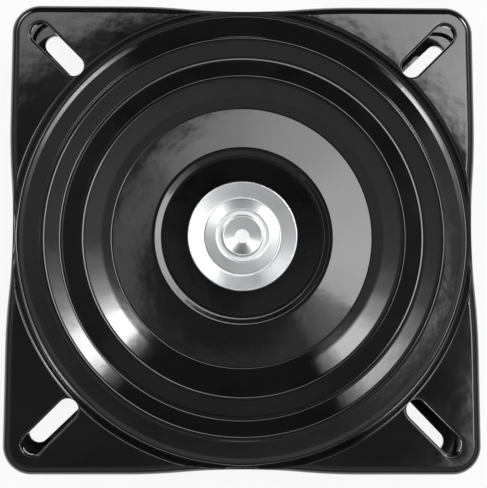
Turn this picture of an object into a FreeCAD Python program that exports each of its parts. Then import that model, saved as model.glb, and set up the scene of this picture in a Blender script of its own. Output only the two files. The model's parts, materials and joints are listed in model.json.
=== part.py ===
import FreeCAD, Part
import math
import os

# Square swivel of two pressed steel plates that turn on a ring of caged balls.
# The frame stands on the middle of the lower mounting face, +Z up, sides along X and Y.
# All sizes are in millimetres and all angles in degrees.

# Overall sizes
plate_width = 180.0
overall_height = 28.0
sheet_thick = 2.5
rest_turn = 1.25

# Outline of each plate
corner_radius = 11.0
side_pull_in = 1.9
side_pull_half_length = 44.0
edge_round = 3.5
lip_reach = 2.5

# Slots at the corners
slot_width = 8.0
slot_length = 26.0
slot_to_corner = 7.9
slot_edge_round = 1.0

# Balls and their cage
ball_diameter = 9.5
ball_count = 24
running_gap = 0.05
cage_thick = 4.0
cage_side_wall = 1.0
cage_edge_round = 0.5
pocket_gap = 0.1

# Bead over the balls, on the upper plate
bead_drop = 0.6
bead_inner_room = 0.1
bead_outer_room = 2.35
crest_height = 0.3
crest_radius = 1.2
crest_inset = 1.3
valley_run = 2.4
valley_drop = 2.3
flange_run = 3.1

# Steps of the upper plate, from the bead inwards
upper_slope_run = 5.7
upper_slope_drop = 2.8
shelf_width = 8.6
lower_slope_run = 11.2
lower_slope_drop = 5.3
dome_share = 0.6
dome_rise = 1.6
seat_step_run = 3.1
seat_step_drop = 0.75

# Bends of the upper plate
tight_bend = 1.6
shelf_bend = 3.0
trough_bend = 9.0
dome_bend = 2.5
flange_bend = 3.2

# Share of a straight run that the bends at its ends may take
bend_share = 0.95

# Hat of the lower plate
foot_room = 1.2
wall_lean = 0.4
wall_bend = 3.0
track_to_wall = 6.2
track_floor_half_width = 1.3
track_side_run = 1.5
track_depth = 0.6
rim_width = 2.4
rim_slope_run = 5.0
floor_drop = 3.0
boss_margin = 2.0
boss_slope_run = 5.0
small_bend = 0.5
floor_bend = 4.0

# Rivet
shank_radius = 8.0
shank_gap = 0.1
head_radius = 14.75
head_edge = 1.1
head_dome_rise = 1.5
collar_radius = 10.2
collar_step = 0.4
crown_radius = 7.6
crown_rise = 1.0
crown_slope_run = 0.5
funnel_radius = 2.7
funnel_depth = 2.9
dimple_depth = 0.5
head_bend = 0.5
tail_radius = 15.0
tail_thick = 3.6
tail_bend = 1.2

# Washers
washer_radius = 21.25
washer_thick = 2.0
washer_flat_margin = 0.5
washer_rim_rise = 1.3
washer_bend = 0.4
washer_dish_bend = 2.0
friction_washer_radius = 24.0
friction_washer_thick = 2.0
friction_washer_bend = 0.3

# Room past a face for a cutting solid, and the play within which two levels are one
over = 1.0
level_play = 0.0001

# Radii worked out from the plate's side inwards
half_side = plate_width / 2
ball_radius = ball_diameter / 2
lip_inner_radius = half_side - side_pull_in - sheet_thick
foot_radius = half_side - side_pull_in - edge_round - foot_room
wall_radius = foot_radius - wall_lean
ball_circle_radius = wall_radius - track_to_wall
bead_outer_radius = ball_circle_radius + ball_radius + bead_outer_room
upper_slope = math.atan2(upper_slope_drop, upper_slope_run)
ball_nest = (ball_radius + sheet_thick) * math.tan(upper_slope / 2)
bead_inner_radius = ball_circle_radius - ball_nest - bead_inner_room
valley_radius = bead_outer_radius + valley_run
flange_radius = valley_radius + flange_run
shelf_outer_radius = bead_inner_radius - upper_slope_run
shelf_inner_radius = shelf_outer_radius - shelf_width
trough_radius = shelf_inner_radius - lower_slope_run
dome_radius = trough_radius - dome_share * (trough_radius - washer_radius - seat_step_run)
seat_radius = dome_radius - seat_step_run
bore_radius = shank_radius + shank_gap
far_radius = 2 * half_side

# Depths below the upper mounting face
shelf_depth = bead_drop + upper_slope_drop
trough_depth = shelf_depth + lower_slope_drop
dome_depth = trough_depth - dome_rise
seat_depth = dome_depth + seat_step_drop
lip_height = sheet_thick + lip_reach

# Heights above the lower mounting face
seat_top = overall_height - seat_depth
ball_height = overall_height - bead_drop - sheet_thick - running_gap - ball_radius
track_top = ball_height - ball_radius - running_gap
boss_top = seat_top - sheet_thick - running_gap - friction_washer_thick
washer_bottom = seat_top + running_gap
washer_top = washer_bottom + washer_thick
head_top = washer_top + head_edge


def point(radius, height):
    return FreeCAD.Vector(radius, 0, height)


def turned_about_z(shape, angle):
    return shape.rotated(FreeCAD.Vector(), FreeCAD.Vector(0, 0, 1), angle)


def rounded_path(corners, bends):
    """Straight runs through the corners, joined by tangent arcs. A bend of zero stays sharp."""
    ways = [(b - a).normalize() for a, b in zip(corners, corners[1:])]
    lengths = [(b - a).Length for a, b in zip(corners, corners[1:])]
    halves = [a.getAngle(b) / 2 for a, b in zip(ways, ways[1:])]
    reaches = [0.0] + [bend * math.tan(half) for bend, half in zip(bends, halves)] + [0.0]
    most = [
        bend_share * length / (a + b) if a + b > 0 else 1.0
        for length, a, b in zip(lengths, reaches, reaches[1:])
    ]
    edges = []
    start = corners[0]
    for i, half in enumerate(halves, start=1):
        reach = reaches[i] * min(1.0, most[i - 1], most[i])
        first = corners[i] - ways[i - 1] * reach
        last = corners[i] + ways[i] * reach
        edges.append(Part.LineSegment(start, first).toShape())
        if reach > 0:
            inward = (ways[i] - ways[i - 1]).normalize()
            middle = corners[i] + inward * (reach / math.sin(half) - reach / math.tan(half))
            edges.append(Part.Arc(first, middle, last).toShape())
        start = last
    edges.append(Part.LineSegment(start, corners[-1]).toShape())
    return edges


def offset_corners(corners, distance):
    """Corners of the path moved to its right-hand side, which lies below an outward run."""
    ways = [(b - a).normalize() for a, b in zip(corners, corners[1:])]
    normals = [point(way.z, -way.x) for way in ways]
    moved = []
    for corner, before, after in zip(corners, normals[:1] + normals, normals + normals[-1:]):
        total = before + after
        moved.append(corner + total * (2 * distance / total.dot(total)))
    return moved


def offset_bends(corners, bends, distance):
    """Radii of the moved path: each bend grows or shrinks by the distance."""
    moved = []
    for a, b, c, bend in zip(corners, corners[1:], corners[2:], bends):
        turns_left = (b - a).cross(c - b).y < 0
        change = distance if turns_left else -distance
        moved.append(max(bend + change, small_bend))
    return moved


def turned(edges):
    """Solid of revolution about Z of a closed outline."""
    face = Part.Face(Part.Wire(edges))
    return face.revolve(FreeCAD.Vector(), FreeCAD.Vector(0, 0, 1), 360)


def turned_outline(corners, bends):
    """Solid of revolution of an outline that runs on from its last corner to its first."""
    return turned(rounded_path(corners, bends) + [Part.LineSegment(corners[-1], corners[0]).toShape()])


def turned_ring(inner, outer, low, high, bend):
    """Ring of rectangular section with rounded edges."""
    corners = [point(inner, high), point(outer, high), point(outer, low), point(inner, low)]
    middle = point(inner, (low + high) / 2)
    return turned(rounded_path([middle] + corners + [middle], [bend] * 4))


def turned_under(corners, bends, bottom):
    """Solid of revolution between a path that runs outwards and a level below it."""
    edges = rounded_path(corners, bends)
    ends = [corners[-1], point(corners[-1].x, bottom), point(0, bottom), corners[0]]
    edges += [Part.LineSegment(a, b).toShape() for a, b in zip(ends, ends[1:])]
    return turned(edges)


def side_edges():
    """The side at +Y from left to right: straight, then drawn in by three tangent arcs."""
    straight_end = half_side - corner_radius
    turn_at = side_pull_half_length / 2
    arc_radius = (turn_at ** 2 + (side_pull_in / 2) ** 2) / side_pull_in
    quarter_drop = arc_radius - math.sqrt(arc_radius ** 2 - (turn_at / 2) ** 2)
    left = [
        (-straight_end, 0.0),
        (-side_pull_half_length, 0.0),
        (-(side_pull_half_length + turn_at) / 2, quarter_drop),
        (-turn_at, side_pull_in / 2),
    ]
    right = [(-x, drop) for x, drop in reversed(left)]
    places = left + [(0.0, side_pull_in)] + right
    points = [FreeCAD.Vector(x, half_side - drop, 0) for x, drop in places]
    return [
        Part.LineSegment(points[0], points[1]).toShape(),
        Part.Arc(points[1], points[2], points[3]).toShape(),
        Part.Arc(points[3], points[4], points[5]).toShape(),
        Part.Arc(points[5], points[6], points[7]).toShape(),
        Part.LineSegment(points[7], points[8]).toShape(),
    ]


def corner_edge():
    """Round corner between the +Y side and the +X side."""
    inner = half_side - corner_radius
    on_diagonal = inner + corner_radius * math.sqrt(0.5)
    start = FreeCAD.Vector(inner, half_side, 0)
    middle = FreeCAD.Vector(on_diagonal, on_diagonal, 0)
    return Part.Arc(start, middle, FreeCAD.Vector(half_side, inner, 0)).toShape()


def plate_outline():
    """Square outline with round corners whose sides are drawn in at their middles."""
    edges = []
    for quarter in range(4):
        edges += [turned_about_z(edge, -90 * quarter) for edge in side_edges() + [corner_edge()]]
    return Part.Wire(edges)


def edges_at(solid, level):
    """Edges of a solid that lie in the plane of the given level."""
    return [
        edge for edge in solid.Edges
        if max(abs(edge.BoundBox.ZMin - level), abs(edge.BoundBox.ZMax - level)) < level_play
    ]


def outline_block(outline, top, bottom, bend):
    """Block of an outline at zero, set at its level, with its upper edge rounded."""
    outline.translate(point(0, top))
    block = Part.Face(outline).extrude(point(0, bottom - top))
    return block.makeFillet(bend, edges_at(block, top))


def slot_radius():
    """Distance of a slot's middle from the axis."""
    corner = (half_side - corner_radius) * math.sqrt(2) + corner_radius
    return corner - slot_to_corner - slot_length / 2


def slot_prism(bottom):
    """Upright slot that lies along X, its middle at the slots' distance."""
    end = slot_width / 2
    run = (slot_length - slot_width) / 2
    places = [(-run, end), (run, end), (run, -end), (-run, -end)]
    a, b, c, d = [FreeCAD.Vector(x, y, over) for x, y in places]
    edges = [
        Part.LineSegment(a, b).toShape(),
        Part.Arc(b, FreeCAD.Vector(run + end, 0, over), c).toShape(),
        Part.LineSegment(c, d).toShape(),
        Part.Arc(d, FreeCAD.Vector(-run - end, 0, over), a).toShape(),
    ]
    prism = Part.Face(Part.Wire(edges)).extrude(point(0, bottom - 2 * over))
    prism.translate(point(slot_radius(), 0))
    return prism


def slotted(block, bottom):
    """Block with its top at zero and four diagonal slots, their upper edges rolled over."""
    for quarter in range(4):
        block = block.cut(turned_about_z(slot_prism(bottom), 45 + 90 * quarter))
    middle = slot_radius() * math.sqrt(0.5)
    rims = []
    for edge in edges_at(block, 0):
        centre = edge.CenterOfMass
        if math.hypot(abs(centre.x) - middle, abs(centre.y) - middle) < slot_length / 2 + over:
            rims.append(edge)
    return block.makeFillet(slot_edge_round, rims)


def pressed_plate(face_corners, face_bends, back_corners, back_bends):
    """Sheet plate between two paths: mounting face at zero, dish and turned edge below it."""
    bottom = min(corner.z for corner in back_corners) - over
    solid = slotted(outline_block(plate_outline(), 0, bottom, edge_round), bottom)
    solid = solid.common(turned_under(face_corners, face_bends, bottom - over))
    inner_outline = plate_outline().makeOffset2D(-sheet_thick)
    inner_bend = max(edge_round - sheet_thick, small_bend)
    hollow = outline_block(inner_outline, -sheet_thick, bottom - over, inner_bend)
    hollow = hollow.common(turned_under(back_corners, back_bends, bottom - over))
    plate = solid.cut(hollow).cut(below_lip(bottom))
    return plate.cut(Part.makeCylinder(bore_radius, -2 * bottom, point(0, bottom)))


def below_lip(bottom):
    """Everything outside the dish and lower than the turned edge."""
    height = -lip_height - bottom + over
    slab = Part.makeBox(2 * far_radius, 2 * far_radius, height)
    slab.translate(FreeCAD.Vector(-far_radius, -far_radius, bottom - over))
    between = (lip_inner_radius + foot_radius) / 2
    return slab.cut(Part.makeCylinder(between, height, point(0, bottom - over)))


def crest_ring():
    """Round ridge that runs along the inner edge of the bead."""
    height = overall_height - bead_drop + crest_height - crest_radius
    return Part.makeTorus(bead_inner_radius + crest_inset, crest_radius, point(0, height))


def make_upper_plate():
    """Dished plate that carries the seat: bead over the balls, shelf, dome and rivet seat."""
    corners = [
        point(0, -seat_depth),
        point(seat_radius, -seat_depth),
        point(dome_radius, -dome_depth),
        point(trough_radius, -trough_depth),
        point(shelf_inner_radius, -shelf_depth),
        point(shelf_outer_radius, -shelf_depth),
        point(bead_inner_radius, -bead_drop),
        point(bead_outer_radius, -bead_drop),
        point(valley_radius, -valley_drop),
        point(flange_radius, 0),
        point(far_radius, 0),
    ]
    bends = [dome_bend, dome_bend, trough_bend, shelf_bend, tight_bend]
    bends += [tight_bend, tight_bend, tight_bend, flange_bend]
    under = offset_corners(corners, sheet_thick)
    plate = pressed_plate(corners, bends, under, offset_bends(corners, bends, sheet_thick))
    plate.translate(point(0, overall_height))
    return turned_about_z(plate.fuse(crest_ring()), rest_turn)


def make_lower_plate():
    """Hat-shaped plate that stands on the base: ball track on top, raised boss in the middle."""
    rim_top = track_top + track_depth
    floor_top = boss_top - floor_drop
    boss_radius = friction_washer_radius + boss_margin
    track_side = ball_circle_radius - track_floor_half_width
    rim_side = track_side - track_side_run
    rim_inner = rim_side - rim_width
    places = [
        (0.0, boss_top, floor_bend),
        (boss_radius, boss_top, floor_bend),
        (boss_radius + boss_slope_run, floor_top, floor_bend),
        (rim_inner - rim_slope_run, floor_top, floor_bend),
        (rim_inner, rim_top, small_bend),
        (rim_side, rim_top, small_bend),
        (track_side, track_top, small_bend),
        (2 * ball_circle_radius - track_side, track_top, small_bend),
        (2 * ball_circle_radius - rim_side, rim_top, small_bend),
        (wall_radius, rim_top, wall_bend),
        (foot_radius, sheet_thick, small_bend),
        (far_radius, sheet_thick, small_bend),
    ]
    corners = [point(radius, -height) for radius, height, bend in places]
    bends = [bend for radius, height, bend in places[1:-1]]
    under = offset_corners(corners, -sheet_thick)
    plate = pressed_plate(under, offset_bends(corners, bends, -sheet_thick), corners, bends)
    return plate.rotated(FreeCAD.Vector(), FreeCAD.Vector(1, 0, 0), 180)


def make_ball(index):
    place = FreeCAD.Vector(ball_circle_radius, 0, ball_height)
    return turned_about_z(Part.makeSphere(ball_radius, place), 360 * index / ball_count)


def make_ball_cage():
    """Moulded ring with one snap-in pocket for each ball."""
    reach = ball_radius + pocket_gap + cage_side_wall
    inner = ball_circle_radius - reach
    outer = ball_circle_radius + reach
    low = ball_height - cage_thick / 2
    cage = turned_ring(inner, outer, low, low + cage_thick, cage_edge_round)
    pocket = Part.makeSphere(ball_radius + pocket_gap, point(ball_circle_radius, ball_height))
    pockets = [turned_about_z(pocket, 360 * index / ball_count) for index in range(ball_count)]
    return cage.cut(pockets)


def make_centre_rivet():
    """Rivet with a plain head below and a domed, hollowed head closed over the washer above."""
    tail_top = boss_top - sheet_thick
    tail_bottom = tail_top - tail_thick
    dome_top = head_top + head_dome_rise
    collar_top = dome_top - collar_step
    crown_top = collar_top + crown_rise
    funnel_bottom = crown_top - funnel_depth
    places = [
        (0.0, tail_bottom, 0.0),
        (tail_radius, tail_bottom, tail_bend),
        (tail_radius, tail_top, head_bend),
        (shank_radius, tail_top, 0.0),
        (shank_radius, washer_top, 0.0),
        (head_radius, washer_top, head_bend),
        (head_radius, head_top, head_bend),
        (collar_radius, dome_top, head_bend),
        (collar_radius - collar_step, collar_top, head_bend),
        (crown_radius + crown_slope_run, collar_top, head_bend),
        (crown_radius, crown_top, head_bend),
        (funnel_radius, funnel_bottom, head_bend),
        (0.0, funnel_bottom - dimple_depth, 0.0),
    ]
    corners = [point(radius, height) for radius, height, bend in places]
    return turned_outline(corners, [bend for radius, height, bend in places[1:-1]])


def make_retaining_washer():
    """Steel washer under the rivet's head, its rim dished upwards."""
    flat_radius = head_radius + washer_flat_margin
    middle = point(bore_radius, washer_bottom + washer_thick / 2)
    top = [point(bore_radius, washer_top), point(flat_radius, washer_top)]
    top.append(point(washer_radius, washer_top + washer_rim_rise))
    bottom = [corner - point(0, washer_thick) for corner in reversed(top)]
    under_bend = washer_dish_bend + washer_thick
    bends = [washer_bend, washer_dish_bend, washer_bend, washer_bend, under_bend, washer_bend]
    return turned(rounded_path([middle] + top + bottom + [middle], bends))


def make_friction_washer():
    """Plain low-friction ring that lies on the boss and carries the upper plate's middle."""
    top = boss_top + friction_washer_thick
    return turned_ring(bore_radius, friction_washer_radius, boss_top, top, friction_washer_bend)


def make_parts():
    parts = {
        "lower_plate": make_lower_plate(),
        "upper_plate": make_upper_plate(),
        "ball_cage": make_ball_cage(),
        "centre_rivet": make_centre_rivet(),
        "retaining_washer": make_retaining_washer(),
        "friction_washer": make_friction_washer(),
    }
    for index in range(ball_count):
        parts[f"ball_{index + 1:02d}"] = make_ball(index)
    return parts


os.makedirs("parts", exist_ok=True)
for name, shape in make_parts().items():
    shape.exportStep(f"parts/{name}.step")
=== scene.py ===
import bisect
import json
import math

import bmesh
import bpy
from mathutils import Matrix, Vector


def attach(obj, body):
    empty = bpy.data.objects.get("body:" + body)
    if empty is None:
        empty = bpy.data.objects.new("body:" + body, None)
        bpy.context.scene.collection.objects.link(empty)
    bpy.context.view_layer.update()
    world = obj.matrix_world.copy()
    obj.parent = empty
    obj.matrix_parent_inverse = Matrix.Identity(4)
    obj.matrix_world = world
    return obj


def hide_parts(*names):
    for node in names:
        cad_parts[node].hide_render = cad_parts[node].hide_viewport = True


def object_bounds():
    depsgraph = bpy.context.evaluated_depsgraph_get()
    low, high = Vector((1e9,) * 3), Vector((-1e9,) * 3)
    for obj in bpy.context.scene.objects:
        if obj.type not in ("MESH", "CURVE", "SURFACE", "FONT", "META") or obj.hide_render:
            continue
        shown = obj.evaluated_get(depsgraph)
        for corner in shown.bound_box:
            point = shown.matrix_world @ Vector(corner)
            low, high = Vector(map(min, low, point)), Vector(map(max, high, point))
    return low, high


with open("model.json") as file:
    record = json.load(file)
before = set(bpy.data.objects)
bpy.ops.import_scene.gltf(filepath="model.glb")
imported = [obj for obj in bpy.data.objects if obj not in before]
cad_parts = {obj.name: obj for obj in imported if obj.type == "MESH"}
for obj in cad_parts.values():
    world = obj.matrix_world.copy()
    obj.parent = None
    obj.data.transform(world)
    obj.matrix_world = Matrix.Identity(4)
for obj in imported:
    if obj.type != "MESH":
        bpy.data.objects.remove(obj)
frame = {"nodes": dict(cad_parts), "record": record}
cad_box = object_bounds()

MM = 0.001

# The photograph: its frame and where the middle of the upper plate stands in it, in pixels
PHOTO_WIDTH = 487
PHOTO_HEIGHT = 488
PLATE_MIDDLE_X = 242.8
PLATE_MIDDLE_Y = 235.0

# The camera: metres and degrees, with its foot point measured from the axis in the picture's own directions
CAMERA_DISTANCE = 0.400
CAMERA_FOOT_RIGHT = -0.010
CAMERA_FOOT_UP = -0.031
CAMERA_ROLL = 1.37
CAMERA_TILT_UP = 5.8
CAMERA_TILT_RIGHT = 0.7
FOCAL_PIXELS = 1053.0
SENSOR = 36.0
NEAREST_SEEN = 0.01

# Floor and overhead lamp
FLOOR_SIDE = 6.0
FLOOR_COLOUR = (0.86, 0.86, 0.86, 1.0)
FLOOR_SELF_LIGHT = 0.9
WHITE = (1.0, 1.0, 1.0, 1.0)
LAMP_SIDE = 0.9
LAMP_HEIGHT = 4.0
LAMP_STRENGTH = 0.08

# Plain walls and ceiling of the studio: strengths, and the ramps between them by the height of a direction
WALL_STRENGTH = 0.38
CEILING_STRENGTH = 0.12
WALL_TO_CEILING = (0.88, 0.93)
WALL_FOOT_SHARE = 0.6
WALL_FOOT_RAMP = (0.35, 0.6)
HORIZON_RAMP = (0.0, 0.01)

# Dark gap in the walls and the ceiling: its middle in degrees clockwise from +Y, and the cosines of the
# angles off that middle between which it sets in
WALL_GAP_SHARE = 0.12
WALL_GAP_TURN = 12.0
WALL_GAP_RAMP = (0.72, 0.80)

# Soft light round the ceiling and on the walls. A direction counts by its flat part, which is as long as
# the sine of its lean off the vertical. Each border has a middle and the two ends of a ramp.
# The strengths go with an azimuth in degrees clockwise from +Y.
CEILING_LIGHT = (
    (-180, 0.25), (-128, 0.25), (-116, 1.0), (-45, 1.3), (-33, 2.4), (-8, 3.4), (28, 4.8),
    (57, 6.3), (84, 7.0), (104, 6.6), (109, 2.2), (124, 1.3), (137, 0.3), (180, 0.25),
)
CEILING_INNER = (0.0, 0.03, 0.25, 0.28)
CEILING_OUTER = (0.085, 0.02, 0.37, 0.405)
WALL_LIGHT = (
    (-180, 0.2), (-100, 0.2), (-78, 0.4), (-66, 1.3), (-56, 4.5), (-46, 9.5),
    (-38, 9.5), (-31, 2.5), (-26, 0.0), (35, 0.0), (40, 2.0), (46, 22.0),
    (52, 22.0), (57, 10.0), (63, 4.0), (72, 1.6), (82, 0.4), (180, 0.2),
)
WALL_INNER = (0.0, 0.0, 0.67, 0.78)
WALL_OUTER = (0.0, 0.0, 0.80, 0.90)

# Both plates, in millimetres as in the construction
PLATE_HALF = 90.0
OVERALL_HEIGHT = 28.0
SHEET = 2.5
REST_TURN = 1.25
CORNER_RADIUS = 11.0
SIDE_PULL_IN = 1.9
SIDE_PULL_HALF_LENGTH = 44.0
EDGE_ROUND = 3.5
LIP_REACH = 2.5
SLOT_WIDTH = 8.0
SLOT_LENGTH = 26.0
SLOT_TO_CORNER = 7.9
SLOT_EDGE_ROUND = 1.0
BORE_RADIUS = 8.1
SMALL_BEND = 0.5

# Section of the upper plate from the seat outwards: radius, depth below its mounting face, bend
UPPER_SECTION = (
    (BORE_RADIUS, 7.85, 0.0),
    (31.32, 7.85, 2.5),
    (34.42, 7.1, 2.5),
    (49.52, 8.7, 9.0),
    (60.72, 3.4, 3.0),
    (69.32, 3.4, 1.6),
    (75.02, 0.6, 1.6),
    (83.9, 0.6, 1.6),
    (86.3, 2.3, 1.6),
    (89.4, 0.0, 3.2),
    (180.0, 0.0, 0.0),
)

# Its upper face, with the fine ridges that the tool leaves at the edges of the shelf and the bead
UPPER_FACE = (
    (BORE_RADIUS, 7.85, 0.0),
    (31.4, 7.85, 7.0),
    (34.4, 7.1, 5.0),
    (50.8, 8.75, 2.0),
    (54.6, 7.05, 20.0),
    (61.5, 3.31, 7.0),
    (62.7, 3.4, 1.5),
    (68.3, 3.4, 2.0),
    (68.9, 3.33, 1.0),
    (70.1, 3.42, 2.5),
    (75.95, 0.3, 4.0),
    (77.15, 0.38, 0.8),
    (77.7, 0.95, 0.8),
    (83.9, 1.88, 1.6),
    (86.5, 2.9, 1.6),
    (88.7, 0.0, 1.6),
    (180.0, 0.0, 0.0),
)

# Section of the hat of the lower plate, the side with the ball track: radius, height, bend
HAT_SECTION = (
    (BORE_RADIUS, 15.6, 0.0),
    (26.0, 15.6, 4.0),
    (31.0, 12.6, 4.0),
    (66.6, 12.6, 4.0),
    (71.6, 15.9, 0.5),
    (74.0, 15.9, 0.5),
    (75.5, 15.3, 0.5),
    (78.1, 15.3, 0.5),
    (79.6, 15.9, 0.5),
    (83.0, 15.9, 3.0),
    (83.4, 2.5, 0.5),
    (180.0, 2.5, 0.0),
)

# Outline of the rivet from the bottom of its tail to the bottom of its funnel: radius, height, bend
RIVET_OUTLINE = (
    (0.0, 9.5, 0.0),
    (15.0, 9.5, 1.2),
    (15.0, 13.1, 0.5),
    (8.0, 13.1, 0.0),
    (8.0, 22.2, 0.0),
    (14.75, 22.2, 0.2),
    (14.75, 23.3, 1.0),
    (10.2, 24.8, 0.5),
    (9.8, 24.4, 0.5),
    (8.1, 24.4, 0.5),
    (7.6, 25.4, 0.5),
    (2.7, 22.5, 0.5),
    (0.0, 22.5, 0.0),
)

# Outline of the washer from the middle of its bore, over its top and back: radius, height, bend
WASHER_OUTLINE = (
    (8.1, 21.2, 0.0),
    (8.1, 22.2, 0.4),
    (15.25, 22.2, 2.0),
    (21.25, 24.1, 0.5),
    (21.25, 22.1, 0.4),
    (15.25, 20.2, 4.0),
    (8.1, 20.2, 0.4),
    (8.1, 21.2, 0.0),
)

# Share of a straight run that the bends at its ends may take
BEND_SHARE = 0.95

# Width of the rounding where a wall meets the rolled edge, and the depth at which it is full
RIDGE_BLEND = 2.6
RIDGE_DEPTH = 1.3

# How finely the meshes are cut, in millimetres, degrees and steps
SIDE_STEP = 1.6
CORNER_STEP = 4.0
LATHE_STEP = 2.0
BEND_STEP = 5.0
LATHE_BEND_STEP = 6.0
EDGE_STEPS = 10
WALL_STEPS = 5
SLOT_END_STEPS = 16
SLOT_EDGE_STEPS = 6
HALVINGS = 30
SHARP_ANGLE = 38.0

# Points of a mesh that lie nearer than this, in metres, are merged
WELD_DISTANCE = 1e-6

# Places of the colour sockets on the Mix node
MIX_FIRST = 6
MIX_SECOND = 7
MIX_RESULT = 2


def turned(point, angle):
    """Flat point turned about the axis, anticlockwise, angle in degrees."""
    a = math.radians(angle)
    x = point.x * math.cos(a) - point.y * math.sin(a)
    y = point.x * math.sin(a) + point.y * math.cos(a)
    return Vector((x, y))


def moved_section(corners, bends, distance):
    """Corners and bends of the parallel section on the right-hand side of an outward run."""
    ways = [(b - a).normalized() for a, b in zip(corners, corners[1:])]
    normals = [Vector((way.y, -way.x)) for way in ways]
    places = []
    for corner, before, after in zip(corners, normals[:1] + normals, normals + normals[-1:]):
        total = before + after
        places.append(corner + total * (2 * distance / total.dot(total)))
    radii = [0.0]
    for before, after, bend in zip(ways, ways[1:], bends[1:-1]):
        change = distance if before.cross(after) > 0 else -distance
        radii.append(max(bend + change, SMALL_BEND))
    return places, radii + [0.0]


def rounded(corners, bends, step=BEND_STEP):
    """Points along a section: straight runs joined by tangent arcs."""
    ways = [(b - a).normalized() for a, b in zip(corners, corners[1:])]
    lengths = [(b - a).length for a, b in zip(corners, corners[1:])]
    turns = [0.0] + [math.atan2(a.cross(b), a.dot(b)) for a, b in zip(ways, ways[1:])] + [0.0]
    reaches = [bend * math.tan(abs(turn) / 2) for bend, turn in zip(bends, turns)]
    most = [
        BEND_SHARE * run / (a + b) if a + b > 0 else 1.0
        for run, a, b in zip(lengths, reaches, reaches[1:])
    ]
    points = [corners[0]]
    for i in range(1, len(corners) - 1):
        reach = reaches[i] * min(1.0, most[i - 1], most[i])
        if reach == 0.0:
            points.append(corners[i])
            continue
        radius = reach / math.tan(abs(turns[i]) / 2)
        start = corners[i] - ways[i - 1] * reach
        side = math.copysign(1.0, turns[i])
        centre = start + Vector((-ways[i - 1].y, ways[i - 1].x)) * (side * radius)
        steps = max(2, math.ceil(abs(math.degrees(turns[i])) / step))
        spoke = start - centre
        points += [centre + turned(spoke, math.degrees(turns[i]) * k / steps) for k in range(steps + 1)]
    return points + [corners[-1]]


def outline():
    """Points of the outline with their outward normals, clockwise from the left end of the +Y side."""
    straight = PLATE_HALF - CORNER_RADIUS
    turn_at = SIDE_PULL_HALF_LENGTH / 2
    arc = (turn_at ** 2 + (SIDE_PULL_IN / 2) ** 2) / SIDE_PULL_IN
    quarter = []
    steps = round(2 * straight / SIDE_STEP)
    for k in range(steps + 1):
        x = straight * (2 * k / steps - 1)
        far = abs(x)
        along = min(far, max(SIDE_PULL_HALF_LENGTH - far, 0.0))
        drop = arc - math.sqrt(arc ** 2 - along ** 2)
        if far < turn_at:
            drop = SIDE_PULL_IN - drop
        lean = math.asin(along / arc)
        normal = Vector((-math.copysign(math.sin(lean), x), math.cos(lean)))
        quarter.append((Vector((x, PLATE_HALF - drop)), normal))
    steps = round(90 / CORNER_STEP)
    for k in range(1, steps):
        a = math.radians(90 * k / steps)
        normal = Vector((math.sin(a), math.cos(a)))
        quarter.append((Vector((straight, straight)) + normal * CORNER_RADIUS, normal))
    return [(turned(p, -90 * q), turned(n, -90 * q)) for q in range(4) for p, n in quarter]


def depth_at(section, radius):
    """Height of a section at a radius."""
    at = bisect.bisect_left(section, radius, key=lambda p: p.x)
    a, b = section[max(at - 1, 0)], section[min(at, len(section) - 1)]
    if a.x == b.x:
        return a.y
    return a.y + (b.y - a.y) * (radius - a.x) / (b.x - a.x)


def column(point, normal, section, inset, bend, level):
    """Points of one face of a plate in one direction, from the bore out to the edge.

    The face follows the section until it meets the rolled edge, which starts inside the outline
    by the inset and the bend. Rings past that meeting are drawn back onto it.
    """
    start = point - normal * (inset + bend)
    end = point - normal * inset
    start_radius = start.length
    end_radius = end.length

    def spot(t):
        return start.lerp(end, t)

    def edge(t):
        return level - bend + math.sqrt(max(bend ** 2 * (1 - t ** 2), 0.0))

    low, high = 0.0, 1.0
    if edge(1.0) >= depth_at(section, end_radius):
        low = 1.0
    else:
        for _ in range(HALVINGS):
            middle = (low + high) / 2
            if edge(middle) < depth_at(section, spot(middle).length):
                high = middle
            else:
                low = middle
    meet = low
    fade = RIDGE_BLEND * min(max(level - edge(meet), 0.0) / RIDGE_DEPTH, 1.0)

    def rolled(t):
        """Height where the wall runs into the rolled edge over a rounded ridge."""
        a, b = edge(t), depth_at(section, spot(t).length)
        near = max(fade - abs(a - b), 0.0)
        return min(a, b) - (near ** 2 / (4 * fade) if near > 0 else 0.0)

    points = []
    first = 0.0
    for ring in section[:-1]:
        if ring.x <= start_radius:
            flat = start * (ring.x / start_radius)
            points.append(Vector((flat.x, flat.y, ring.y)))
        else:
            t = min((ring.x - start_radius) / (end_radius - start_radius), meet)
            flat = spot(t)
            points.append(Vector((flat.x, flat.y, rolled(t))))
            first = t
    for k in range(1, WALL_STEPS + 1):
        t = first + (meet - first) * k / WALL_STEPS
        flat = spot(t)
        points.append(Vector((flat.x, flat.y, rolled(t))))
    first_angle = math.asin(meet)
    for k in range(1, EDGE_STEPS + 1):
        t = math.sin(first_angle + (math.pi / 2 - first_angle) * k / EDGE_STEPS)
        flat = spot(t)
        points.append(Vector((flat.x, flat.y, rolled(t))))
    return points + [Vector((end.x, end.y, -SHEET - LIP_REACH))]


def slot_radius():
    corner = (PLATE_HALF - CORNER_RADIUS) * math.sqrt(2) + CORNER_RADIUS
    return corner - SLOT_TO_CORNER - SLOT_LENGTH / 2


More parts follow.
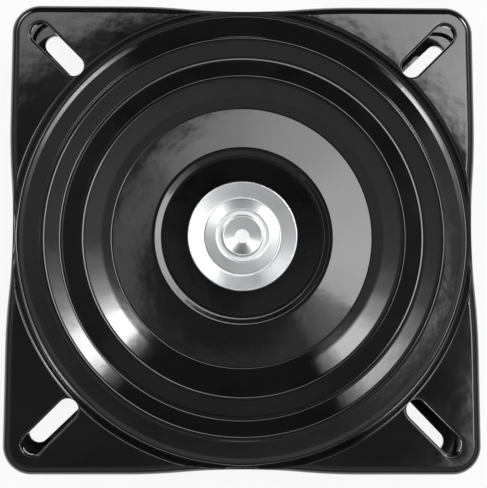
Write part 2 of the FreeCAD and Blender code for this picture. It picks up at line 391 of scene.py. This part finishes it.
def slot_cutters():
    """Four upright slots that flare at the mounting face, where the cut edge is rolled over."""
    run = (SLOT_LENGTH - SLOT_WIDTH) / 2
    arcs = [math.radians(90 * k / SLOT_EDGE_STEPS) for k in range(SLOT_EDGE_STEPS + 1)]
    layers = [(SLOT_EDGE_ROUND, 1.0)]
    layers += [(SLOT_EDGE_ROUND * (1 - math.sin(a)), -SLOT_EDGE_ROUND * (1 - math.cos(a))) for a in arcs]
    layers.append((0.0, -2 * (SHEET + LIP_REACH)))
    work = bmesh.new()
    for quarter in range(4):
        rings = []
        for grow, height in layers:
            ring = []
            for side in (1, -1):
                for k in range(SLOT_END_STEPS + 1):
                    a = math.radians(90 - 180 * k / SLOT_END_STEPS)
                    reach = SLOT_WIDTH / 2 + grow
                    flat = Vector((side * (run + reach * math.cos(a)), side * reach * math.sin(a)))
                    flat = turned(flat + Vector((slot_radius(), 0.0)), 45 + 90 * quarter)
                    ring.append(work.verts.new((flat.x, flat.y, height)))
            rings.append(ring)
        for upper, lower in zip(rings, rings[1:]):
            for k in range(len(upper)):
                n = (k + 1) % len(upper)
                work.faces.new((upper[k], upper[n], lower[n], lower[k]))
        work.faces.new(rings[0])
        work.faces.new(rings[-1])
    return finished_mesh(work, "slots")


def finished_mesh(work, name):
    """Mesh in metres with its doubles merged and its normals outwards."""
    bmesh.ops.scale(work, vec=(MM, MM, MM), verts=work.verts)
    bmesh.ops.remove_doubles(work, verts=work.verts, dist=WELD_DISTANCE)
    bmesh.ops.recalc_face_normals(work, faces=work.faces)
    mesh = bpy.data.meshes.new(name)
    work.to_mesh(mesh)
    work.free()
    return mesh


def closed_grid(rows):
    """Mesh of quads between rows of points that close on themselves both ways."""
    work = bmesh.new()
    verts = [[work.verts.new(p) for p in row] for row in rows]
    for row, after in zip(verts, verts[1:] + verts[:1]):
        for k in range(len(row)):
            n = (k + 1) % len(row)
            work.faces.new((row[k], row[n], after[n], after[k]))
    return work


def pressed_plate(name, face, back):
    """Sheet plate between two sections, with its turned edge and four slots."""
    rows = []
    for point, normal in outline():
        outer = column(point, normal, face, 0.0, EDGE_ROUND, 0.0)
        inner = column(point, normal, back, SHEET, max(EDGE_ROUND - SHEET, SMALL_BEND), -SHEET)
        rows.append(outer + inner[::-1])
    plate = bpy.data.objects.new(name, finished_mesh(closed_grid(rows), name))
    bpy.context.scene.collection.objects.link(plate)
    cutter = bpy.data.objects.new("slots", slot_cutters())
    bpy.context.scene.collection.objects.link(cutter)
    cut = plate.modifiers.new("slots", "BOOLEAN")
    cut.object = cutter
    cut.operation = "DIFFERENCE"
    cut.solver = "EXACT"
    plate.data = bpy.data.meshes.new_from_object(plate.evaluated_get(bpy.context.evaluated_depsgraph_get()))
    plate.modifiers.clear()
    bpy.data.objects.remove(cutter)
    return plate


def lathed(name, outline_rows):
    """Solid of revolution about the axis."""
    corners = [Vector((radius, height)) for radius, height, bend in outline_rows]
    profile = rounded(corners, [bend for radius, height, bend in outline_rows], step=LATHE_BEND_STEP)
    work = bmesh.new()
    count = round(360 / LATHE_STEP)
    ways = [turned(Vector((1.0, 0.0)), LATHE_STEP * k) for k in range(count)]
    rows = [[work.verts.new((way.x * p.x, way.y * p.x, p.y)) for p in profile] for way in ways]
    for row, after in zip(rows, rows[1:] + rows[:1]):
        for k in range(len(profile) - 1):
            work.faces.new((row[k], row[k + 1], after[k + 1], after[k]))
    piece = bpy.data.objects.new(name, finished_mesh(work, name))
    bpy.context.scene.collection.objects.link(piece)
    return piece


def smoothed(piece):
    """The piece with smooth faces, sharp folds, and normals that keep the flat parts flat."""
    for face in piece.data.polygons:
        face.use_smooth = True
    piece.data.set_sharp_from_angle(angle=math.radians(SHARP_ANGLE))
    weights = piece.modifiers.new("weights", "WEIGHTED_NORMAL")
    weights.keep_sharp = True
    return piece


def stand_for(piece, node, body):
    """Puts a piece in the place of a CAD node, on its body."""
    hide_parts(node)
    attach(piece, body)


def make_upper_plate():
    corners = [Vector((r, -depth)) for r, depth, bend in UPPER_FACE]
    bends = [bend for r, depth, bend in UPPER_FACE]
    plain = [Vector((r, -depth)) for r, depth, bend in UPPER_SECTION]
    under = moved_section(plain, [bend for r, depth, bend in UPPER_SECTION], SHEET)
    back = rounded(*under, step=2 * BEND_STEP)
    plate = pressed_plate("upper_plate_pressing", rounded(corners, bends), back)
    lift = Matrix.Translation((0, 0, OVERALL_HEIGHT * MM)) @ Matrix.Rotation(math.radians(REST_TURN), 4, "Z")
    plate.data.transform(lift)
    stand_for(smoothed(plate), "upper_plate", "turntable")
    return plate


def make_lower_plate():
    corners = [Vector((r, -height)) for r, height, bend in HAT_SECTION]
    bends = [bend for r, height, bend in HAT_SECTION]
    under = moved_section(corners, bends, -SHEET)
    face = rounded(*under, step=2 * BEND_STEP)
    plate = pressed_plate("lower_plate_pressing", face, rounded(corners, bends))
    plate.data.transform(Matrix.Rotation(math.pi, 4, "X"))
    stand_for(smoothed(plate), "lower_plate", "base")
    return plate


def make_rivet_and_washer():
    rivet = lathed("centre_rivet_turning", RIVET_OUTLINE)
    stand_for(smoothed(rivet), "centre_rivet", "base")
    washer = lathed("retaining_washer_pressing", WASHER_OUTLINE)
    stand_for(smoothed(washer), "retaining_washer", "base")
    return rivet, washer


class Graph:
    """Shorthand for building one material's nodes."""

    def __init__(self, name):
        self.material = bpy.data.materials.new(name)
        self.material.use_nodes = True
        self.nodes = self.material.node_tree.nodes
        self.links = self.material.node_tree.links
        self.shader = self.nodes["Principled BSDF"]
        self.place = self.add("ShaderNodeTexCoord").outputs["Object"]

    def add(self, kind, inputs=None, **settings):
        node = self.nodes.new(kind)
        for name, value in settings.items():
            setattr(node, name, value)
        for name, value in (inputs or {}).items():
            self.feed(node.inputs[name], value)
        return node

    def feed(self, socket, value):
        if isinstance(value, bpy.types.NodeSocket):
            self.links.new(value, socket)
        else:
            socket.default_value = value

    def set(self, **values):
        for name, value in values.items():
            self.feed(self.shader.inputs[name.replace("_", " ")], value)

    def noise(self, size, detail=2.0, roughness=0.5, place=None):
        """Noise whose features are about the given size in metres."""
        inputs = {
            "Vector": place or self.place,
            "Scale": 1.0 / size,
            "Detail": detail,
            "Roughness": roughness,
        }
        return self.add("ShaderNodeTexNoise", inputs).outputs["Fac"]

    def spread(self, value, low, high, to_low, to_high):
        """The value's range low..high drawn out to to_low..to_high, and held at its ends."""
        inputs = {"Value": value, "From Min": low, "From Max": high, "To Min": to_low, "To Max": to_high}
        return self.add("ShaderNodeMapRange", inputs).outputs["Result"]

    def math(self, operation, a, b=0.0):
        node = self.add("ShaderNodeMath", operation=operation)
        self.feed(node.inputs[0], a)
        self.feed(node.inputs[1], b)
        return node.outputs[0]

    def radius(self):
        """Distance from the axis of rotation."""
        parts = self.add("ShaderNodeSeparateXYZ", {"Vector": self.place}).outputs
        squares = self.math("ADD", self.math("POWER", parts["X"], 2.0), self.math("POWER", parts["Y"], 2.0))
        return self.math("SQRT", squares)

    def bump(self, height, distance, strength=1.0, normal=None):
        inputs = {"Height": height, "Distance": distance, "Strength": strength}
        node = self.add("ShaderNodeBump", inputs)
        if normal is not None:
            self.feed(node.inputs["Normal"], normal)
        return node.outputs["Normal"]

    def blend(self, share, first, second):
        """Colour between two colours."""
        node = self.add("ShaderNodeMix", data_type="RGBA")
        self.feed(node.inputs["Factor"], share)
        self.feed(node.inputs[MIX_FIRST], first)
        self.feed(node.inputs[MIX_SECOND], second)
        return node.outputs[MIX_RESULT]


def black_gloss_paint():
    """Stoved black enamel on pressed steel, with faint smears, slow waves and orange peel."""
    g = Graph("black_gloss_paint")
    smears = g.noise(22 * MM, 4.0, 0.6)
    dull = g.spread(smears, 0.35, 0.7, 0.0, 1.0)
    g.set(
        Base_Color=g.blend(dull, (0.0035, 0.0035, 0.004, 1.0), (0.007, 0.007, 0.0072, 1.0)),
        Roughness=g.spread(smears, 0.3, 0.75, 0.06, 0.11),
        IOR=1.46,
        Coat_Weight=1.0,
        Coat_Roughness=0.035,
        Coat_IOR=1.3,
    )
    waves = g.bump(g.noise(9 * MM, 2.0), 0.09 * MM, 0.5)
    peel = g.bump(g.noise(1.3 * MM, 1.0), 0.005 * MM, 0.5, waves)
    g.set(Normal=peel, Coat_Normal=peel)
    return g.material


def zinc_plate():
    """Bright, slightly cloudy zinc on steel: fine turned rings, and a painted highlight in the middle, where
    the flat at the bottom of the funnel is painted near white and matt.
    """
    g = Graph("zinc_plate")
    cloud = g.noise(7 * MM, 2.0, 0.5)
    radius = g.radius()
    # Painted highlight: the flat disc at the bottom of the rivet's funnel, inside about 2.6 mm, is painted
    # near white and made matt so that it shows as a white spot
    painted_highlight_disc = g.spread(radius, 2.55 * MM, 2.75 * MM, 1.0, 0.0)
    rings = g.noise(0.35 * MM, 3.0, 0.7, g.add("ShaderNodeCombineXYZ", {"X": radius}).outputs["Vector"])
    plated = g.blend(cloud, (0.83, 0.84, 0.86, 1.0), (0.90, 0.91, 0.92, 1.0))
    g.set(
        # The near white here is the painted highlight of the middle disc, not a colour of the zinc
        Base_Color=g.blend(painted_highlight_disc, plated, (0.97, 0.97, 0.97, 1.0)),
        Metallic=1.0,
        Roughness=g.math("MAXIMUM", g.spread(cloud, 0.3, 0.7, 0.31, 0.37), g.math("MULTIPLY", painted_highlight_disc, 0.75)),
        Normal=g.bump(g.noise(0.5 * MM, 2.0), 0.003 * MM, 0.4, g.bump(rings, 0.015 * MM, 0.3)),
    )
    return g.material


def bearing_steel():
    """Polished balls with a thin film of grease."""
    g = Graph("bearing_steel")
    film = g.noise(3 * MM, 3.0, 0.6)
    g.set(
        Base_Color=g.blend(film, (0.58, 0.57, 0.55, 1.0), (0.72, 0.72, 0.73, 1.0)),
        Metallic=1.0,
        Roughness=g.spread(film, 0.3, 0.7, 0.06, 0.2),
        Normal=g.bump(film, 0.01 * MM, 0.2),
    )
    return g.material


def moulded_plastic(name, dark, light, roughness):
    """Moulded part: slightly uneven colour and a fine eroded grain."""
    g = Graph(name)
    cloud = g.noise(12 * MM, 3.0, 0.5)
    grain = g.noise(0.25 * MM, 2.0)
    g.set(
        Base_Color=g.blend(cloud, dark, light),
        Roughness=g.spread(cloud, 0.3, 0.7, roughness, roughness + 0.12),
        Subsurface_Weight=0.1,
        Subsurface_Scale=1 * MM,
        Normal=g.bump(grain, 0.01 * MM, 0.3),
    )
    return g.material


def floor_material():
    """Pale floor that shows the camera a near white and keeps the object's shadow."""
    g = Graph("floor")
    rays = g.add("ShaderNodeLightPath").outputs
    seen = g.math("MAXIMUM", rays["Is Camera Ray"], rays["Is Glossy Ray"])
    seen = g.math("MAXIMUM", seen, rays["Is Transmission Ray"])
    shade = g.add("ShaderNodeBsdfDiffuse", {"Color": FLOOR_COLOUR}).outputs["BSDF"]
    glow = g.add("ShaderNodeEmission", {"Color": WHITE, "Strength": 1.0}).outputs["Emission"]
    lit = g.add("ShaderNodeMixShader")
    g.feed(lit.inputs[0], g.math("MULTIPLY", seen, FLOOR_SELF_LIGHT))
    g.feed(lit.inputs[1], shade)
    g.feed(lit.inputs[2], glow)
    under = g.add("ShaderNodeBsdfTransparent").outputs["BSDF"]
    sides = g.add("ShaderNodeMixShader")
    g.feed(sides.inputs[0], g.add("ShaderNodeNewGeometry").outputs["Backfacing"])
    g.feed(sides.inputs[1], lit.outputs["Shader"])
    g.feed(sides.inputs[2], under)
    g.feed(g.nodes["Material Output"].inputs["Surface"], sides.outputs["Shader"])
    return g.material


def dress_nodes():
    """Gives each CAD node the material of its slot in the record."""
    made = {
        "black_gloss_paint": black_gloss_paint(),
        "zinc_plate": zinc_plate(),
        "bearing_steel": bearing_steel(),
        "nylon": moulded_plastic("nylon", (0.70, 0.67, 0.58, 1.0), (0.80, 0.78, 0.70, 1.0), 0.42),
        "acetal": moulded_plastic("acetal", (0.035, 0.035, 0.036, 1.0), (0.05, 0.05, 0.05, 1.0), 0.35),
    }
    for row in frame["record"]["subparts"]:
        node = frame["nodes"][row["node"]]
        node.data.materials.clear()
        node.data.materials.append(made[row["material_slot"]])
    return made


def make_floor():
    half = FLOOR_SIDE / 2
    mesh = bpy.data.meshes.new("floor")
    corners = [(-half, -half, 0), (half, -half, 0), (half, half, 0), (-half, half, 0)]
    mesh.from_pydata(corners, [], [(0, 1, 2, 3)])
    floor = bpy.data.objects.new("floor", mesh)
    mesh.materials.append(floor_material())
    bpy.context.scene.collection.objects.link(floor)


def make_light():
    """One large, weak and soft lamp straight above the plate."""
    lamp = bpy.data.lights.new("overhead", "AREA")
    lamp.size = LAMP_SIDE
    lamp.energy = LAMP_STRENGTH * math.pi * LAMP_SIDE ** 2
    box = bpy.data.objects.new("overhead", lamp)
    box.location = (0.0, 0.0, LAMP_HEIGHT)
    bpy.context.scene.collection.objects.link(box)


def make_world():
    """Studio round the plate: dark above, two bands of soft light, dim walls with a gap, white backdrop."""
    world = bpy.data.worlds.new("studio")
    bpy.context.scene.world = world
    world.use_nodes = True
    nodes = world.node_tree.nodes
    links = world.node_tree.links
    walls = nodes["Background"]

    def add(kind, *inputs, **settings):
        node = nodes.new(kind)
        for name, value in settings.items():
            setattr(node, name, value)
        for socket, value in zip(node.inputs, inputs):
            if isinstance(value, bpy.types.NodeSocket):
                links.new(value, socket)
            else:
                socket.default_value = value
        return node

    def ramp(value, low, high, to_low, to_high):
        between = (value, low, high, to_low, to_high)
        return add("ShaderNodeMapRange", *between, interpolation_type="SMOOTHSTEP").outputs["Result"]

    def times(a, b):
        return add("ShaderNodeMath", a, b, operation="MULTIPLY").outputs["Value"]

    def plus(a, b):
        return add("ShaderNodeMath", a, b, operation="ADD").outputs["Value"]

    def from_middle(x, y):
        """How far a direction's flat part lies from a middle."""
        apart = add("ShaderNodeVectorMath", flat, (x, y, 0.0), operation="SUBTRACT").outputs["Vector"]
        return add("ShaderNodeVectorMath", apart, operation="LENGTH").outputs["Value"]

    def band(stops, inner, outer):
        """Light between two round borders, with its strength drawn from stops of azimuth."""
        most = max(strength for angle, strength in stops)
        shades = add("ShaderNodeValToRGB", azimuth)
        shades.color_ramp.interpolation = "EASE"
        elements = shades.color_ramp.elements
        while len(elements) < len(stops):
            elements.new(0.5)
        for element, (angle, strength) in zip(elements, stops):
            element.position = (angle + 180) / 360
            grey = strength / most
            element.color = (grey, grey, grey, 1.0)
        near = ramp(from_middle(*inner[:2]), *inner[2:], 0.0, 1.0)
        far = ramp(from_middle(*outer[:2]), *outer[2:], 1.0, 0.0)
        return times(times(times(near, far), most), shades.outputs["Color"])

    way = nodes.new("ShaderNodeTexCoord").outputs["Generated"]
    x, y, z = add("ShaderNodeSeparateXYZ", way).outputs
    turn = add("ShaderNodeMath", x, y, operation="ARCTAN2").outputs["Value"]
    azimuth = plus(times(turn, 0.5 / math.pi), 0.5)
    flat = add("ShaderNodeVectorMath", way, (1.0, 1.0, 0.0), operation="MULTIPLY").outputs["Vector"]
    beside = plus(turn, math.radians(-WALL_GAP_TURN))
    towards = add("ShaderNodeMath", beside, operation="COSINE").outputs["Value"]
    gap = ramp(towards, *WALL_GAP_RAMP, 1.0, WALL_GAP_SHARE)
    above = ramp(z, *WALL_TO_CEILING, WALL_STRENGTH, CEILING_STRENGTH)
    foot = ramp(z, *WALL_FOOT_RAMP, WALL_FOOT_SHARE, 1.0)
    total = times(times(gap, above), foot)
    ceiling_light = band(CEILING_LIGHT, CEILING_INNER, CEILING_OUTER)
    wall_light = band(WALL_LIGHT, WALL_INNER, WALL_OUTER)
    total = plus(total, times(plus(ceiling_light, wall_light), ramp(z, *HORIZON_RAMP, 0.0, 1.0)))
    links.new(total, walls.inputs["Strength"])
    walls.inputs["Color"].default_value = WHITE
    backdrop = add("ShaderNodeBackground", WHITE, 1.0)
    rays = nodes.new("ShaderNodeLightPath").outputs["Is Camera Ray"]
    either = add("ShaderNodeMixShader", rays, walls.outputs["Background"], backdrop.outputs["Background"])
    links.new(either.outputs["Shader"], nodes["World Output"].inputs["Surface"])


def make_camera():
    """Camera almost straight above, set so that the plate stands where the photograph has it."""
    roll = Matrix.Rotation(math.radians(CAMERA_ROLL), 3, "Z")
    tilt = Matrix.Rotation(math.radians(CAMERA_TILT_UP), 3, "X")
    lean = Matrix.Rotation(math.radians(-CAMERA_TILT_RIGHT), 3, "Y")
    turn = roll @ lean @ tilt
    flange = cad_box[1].z
    foot = roll @ Vector((CAMERA_FOOT_RIGHT, CAMERA_FOOT_UP, 0.0))
    place = foot + Vector((0.0, 0.0, flange + CAMERA_DISTANCE))
    middle = turn.transposed() @ (Vector((0.0, 0.0, flange)) - place)
    data = bpy.data.cameras.new("camera")
    side = max(PHOTO_WIDTH, PHOTO_HEIGHT)
    data.sensor_width = SENSOR
    data.lens = SENSOR * FOCAL_PIXELS / side
    across = PHOTO_WIDTH / 2 + FOCAL_PIXELS * middle.x / -middle.z
    down = PHOTO_HEIGHT / 2 - FOCAL_PIXELS * middle.y / -middle.z
    data.shift_x = (across - PLATE_MIDDLE_X) / side
    data.shift_y = (PLATE_MIDDLE_Y - down) / side
    data.clip_start = NEAREST_SEEN
    camera = bpy.data.objects.new("camera", data)
    camera.matrix_world = Matrix.Translation(place) @ turn.to_4x4()
    bpy.context.scene.collection.objects.link(camera)
    bpy.context.scene.camera = camera


finishes = dress_nodes()
for plate in (make_upper_plate(), make_lower_plate()):
    plate.data.materials.append(finishes["black_gloss_paint"])
for turning in make_rivet_and_washer():
    turning.data.materials.append(finishes["zinc_plate"])
make_floor()
make_light()
make_world()
make_camera()
bpy.context.scene.view_settings.view_transform = "Standard"
